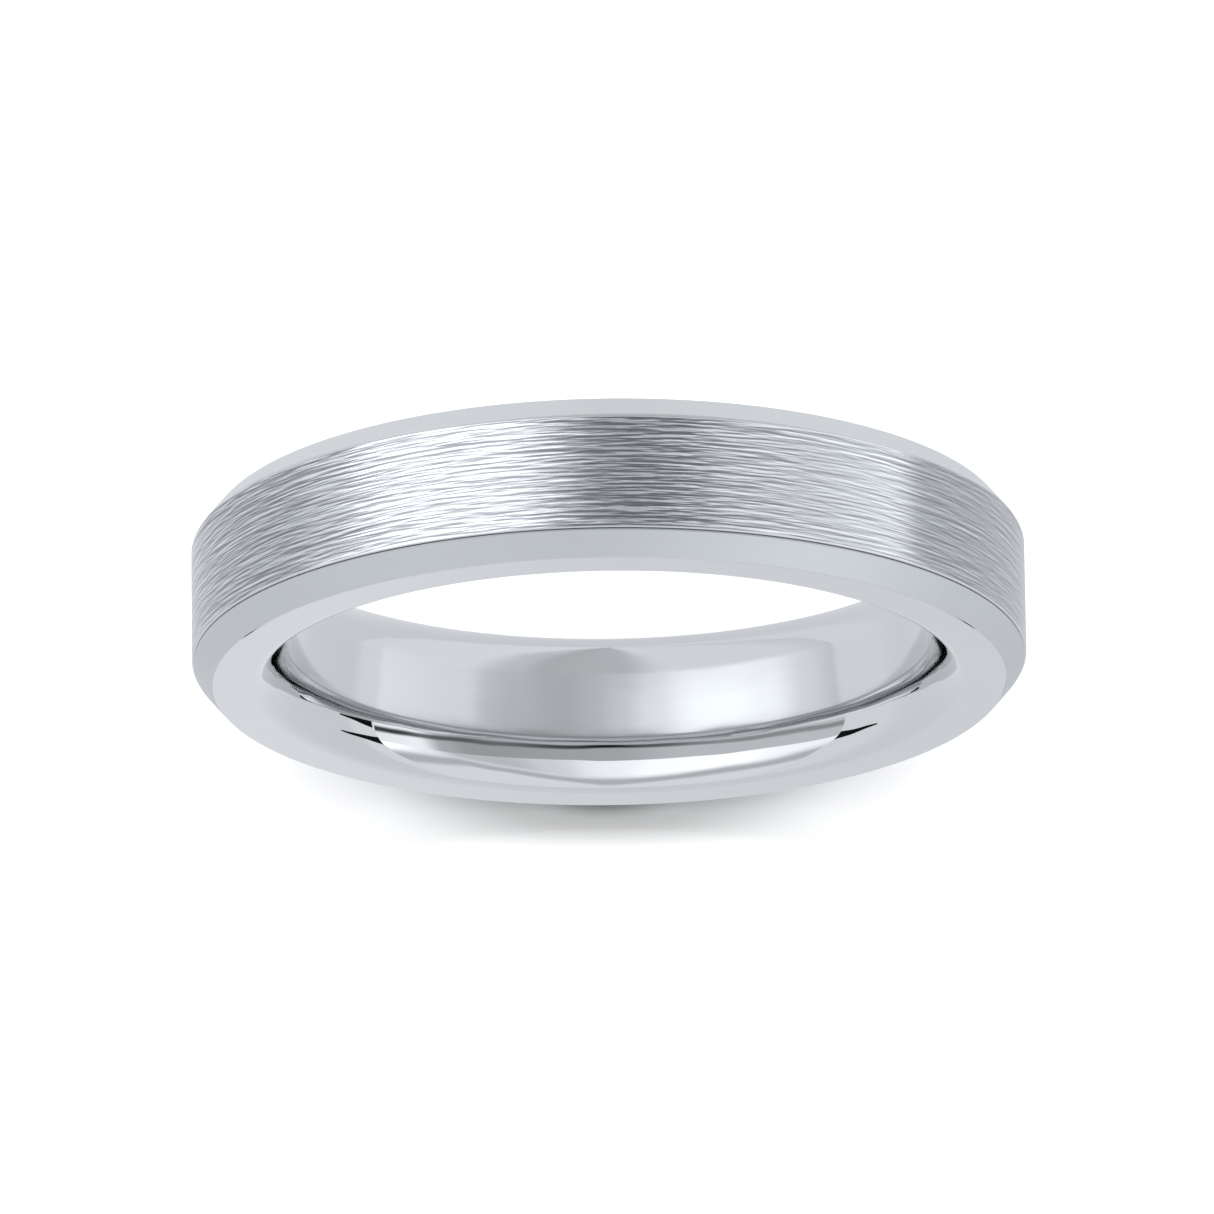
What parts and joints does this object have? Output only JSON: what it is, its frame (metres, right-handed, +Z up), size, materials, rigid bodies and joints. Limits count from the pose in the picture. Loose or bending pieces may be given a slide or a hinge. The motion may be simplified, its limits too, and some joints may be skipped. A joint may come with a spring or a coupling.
{
  "type": "wedding band",
  "caption": "Comfort-fit wedding band with a flat brushed outer strip between two polished bevels and a rounded polished bore.",
  "frame": {"origin": "centre of the ring, on the bore's axis midway between the two side faces", "axes": "+Y along the bore's axis towards the rear rim, +Z up with the ring standing on its edge, +X to the right seen from the front"},
  "size_m": [0.0202, 0.004, 0.0202],
  "materials": {
    "polished_metal": "mirror polished",
    "polished_rim": "mirror polished",
    "brushed_metal": "brushed around the ring",
    "solder": "as flowed"
  },
  "bodies": {
    "root": {"comfort_fit_liner": "polished_metal", "brushed_center_band": "brushed_metal", "rear_bevel_rim": "polished_rim", "front_solder_ring": "solder", "rear_solder_ring": "solder"}
  },
  "joints": []
}
